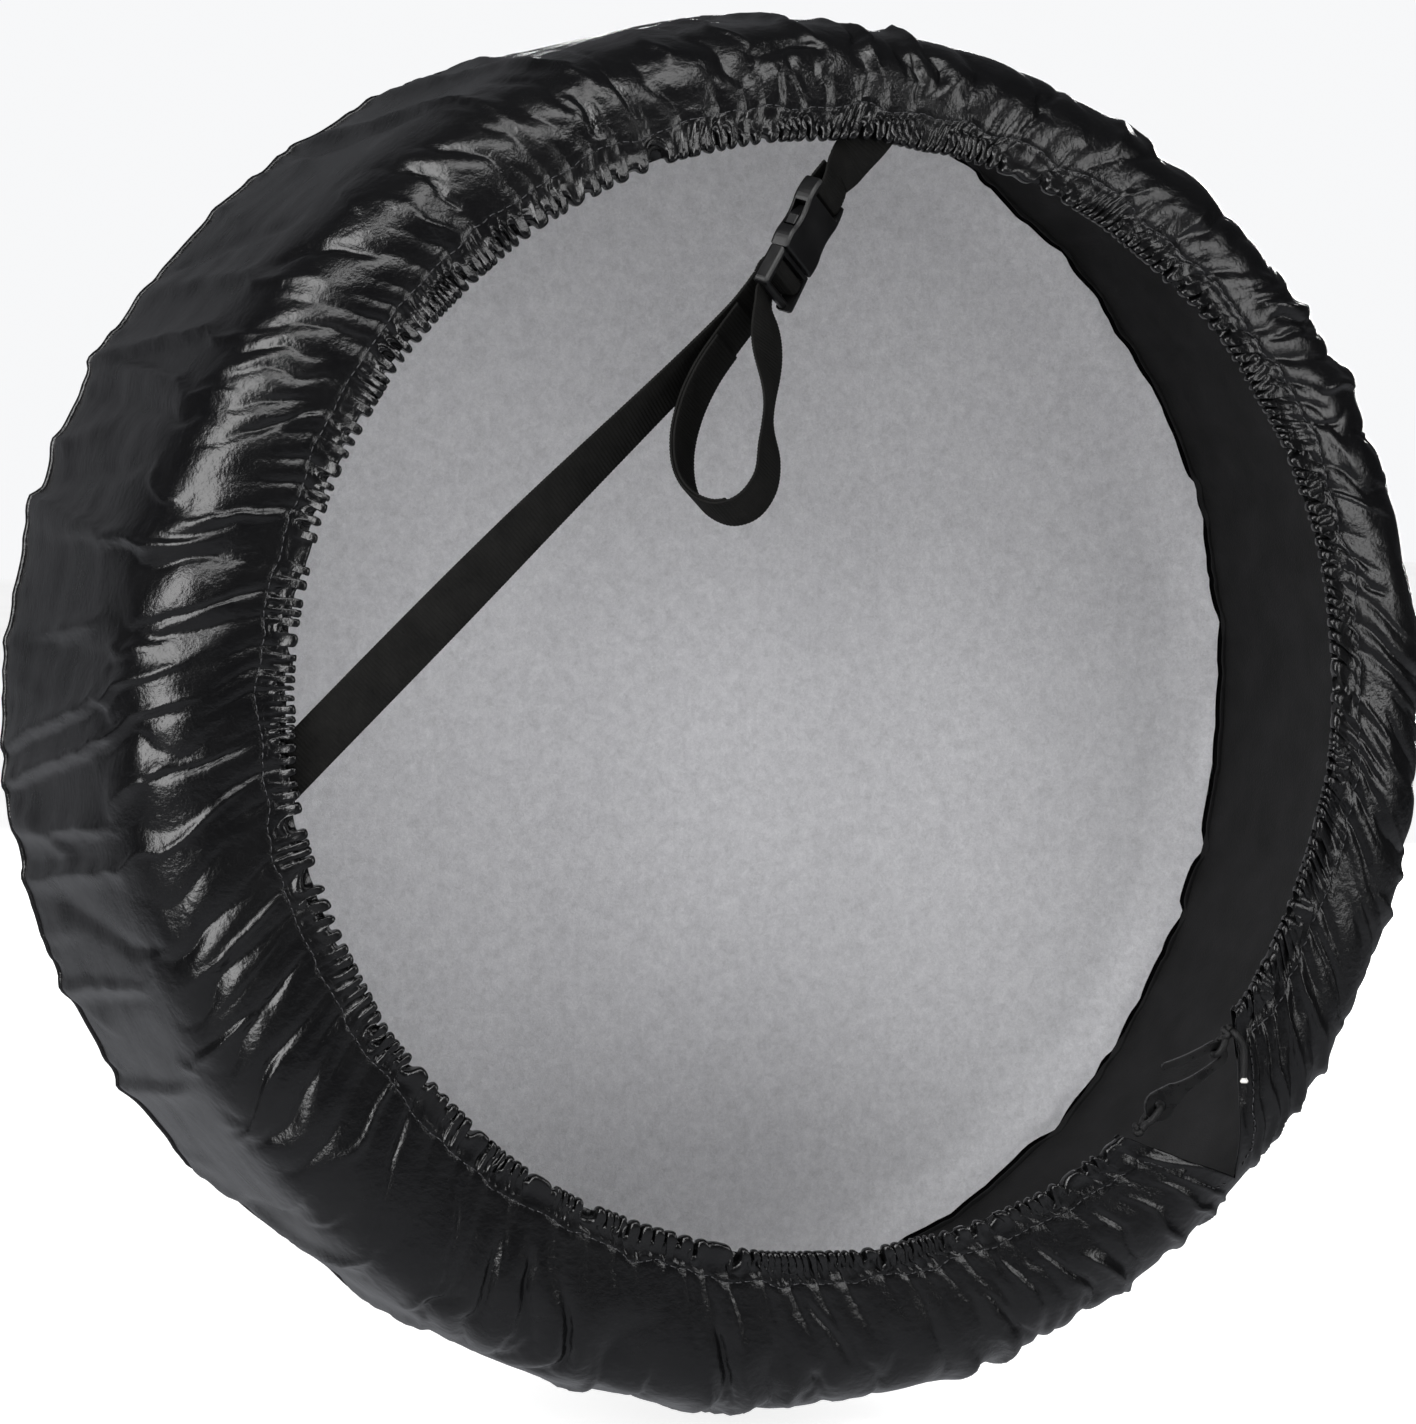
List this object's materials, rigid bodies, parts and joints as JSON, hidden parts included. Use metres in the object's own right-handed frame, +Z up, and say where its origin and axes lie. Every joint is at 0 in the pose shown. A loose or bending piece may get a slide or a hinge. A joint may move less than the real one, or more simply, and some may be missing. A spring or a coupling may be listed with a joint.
{
  "type": "spare tire cover",
  "caption": "Soft synthetic leather cover for a mounted spare tyre, with an elastic gathered hem, a notch closed by a hook, and a buckled webbing strap across the open side.",
  "frame": {"origin": "centre of the tyre the cover is fitted to: on the tyre's axis, halfway across its width", "axes": "+Y along the tyre's axis, out through the closed face panel; -Y out through the gathered opening; +Z up as hung on a vehicle; +X completes the right-handed set"},
  "size_m": [0.703, 0.3306, 0.703],
  "materials": {
    "cover_vinyl": "glossy black synthetic leather with a fine pressed grain",
    "lining_felt": "pale grey matte non-woven",
    "piping_core": "matte foam cord inside the piping",
    "webbing": "matte black ribbed polypropylene webbing",
    "elastic_cover": "matte black braided sleeve of the elastic cord",
    "elastic_rubber": "white rubber strands at the cord's cut end",
    "thread": "black polyester sewing thread with a slight sheen",
    "buckle_plastic": "satin black moulded acetal",
    "hook_plastic": "satin black moulded plastic"
  },
  "bodies": {
    "cover": {"face_panel": "cover_vinyl", "face_backing": "lining_felt", "edge_piping": "cover_vinyl", "piping_cord": "piping_core", "side_band": "cover_vinyl", "back_flange": "cover_vinyl", "hem_casing": "cover_vinyl", "casing_stitching": "thread", "hem_elastic": "elastic_cover", "notch_facing_upper": "cover_vinyl", "notch_facing_lower": "cover_vinyl", "hook_knot": "elastic_cover", "hook_tie": "elastic_cover", "loop_knot": "elastic_cover", "elastic_loop": "elastic_cover", "elastic_end": "elastic_cover", "elastic_core": "elastic_rubber", "buckle_socket": "buckle_plastic", "strap_short": "webbing", "strap_long": "webbing", "strap_tack_left": "thread", "strap_tack_top": "thread"},
    "plug": {"buckle_plug": "buckle_plastic", "strap_wrap": "webbing"},
    "arm_left": {"buckle_arm_left": "buckle_plastic"},
    "arm_right": {"buckle_arm_right": "buckle_plastic"},
    "tail": {"strap_tail": "webbing"},
    "hook": {"gap_hook": "hook_plastic"}
  },
  "joints": [
    {"name": "buckle_release", "type": "slide", "parent": "cover", "child": "plug", "axis": [-0.506, -0.106, -0.856], "range_m": [0, 0.026], "deforming": ["strap_long", "buckle_arm_left", "buckle_arm_right"]},
    {"name": "arm_right_squeeze", "type": "hinge", "parent": "plug", "child": "arm_right", "pos_m": [-0.0116, -0.1401, 0.2221], "axis": [0.5811, -0.7751, -0.248], "range_deg": [0, 12], "stiffness_Nm_per_rad": 0.05},
    {"name": "arm_left_squeeze", "type": "hinge", "parent": "plug", "child": "arm_left", "pos_m": [-0.0237, -0.1519, 0.2307], "axis": [-0.5811, 0.7751, 0.248], "range_deg": [0, 12], "stiffness_Nm_per_rad": 0.05},
    {"name": "tail_swing", "type": "hinge", "parent": "plug", "child": "tail", "pos_m": [-0.0274, -0.1472, 0.2112], "axis": [-0.637, -0.623, 0.454], "range_deg": [0, 60]},
    {"name": "hook_lift", "type": "hinge", "parent": "cover", "child": "hook", "pos_m": [0.183, -0.141, -0.196], "axis": [0.6, 0, -0.8], "range_deg": [0, 75], "stiffness_Nm_per_rad": 0.02, "deforming": ["hook_tie", "elastic_loop"]}
  ]
}
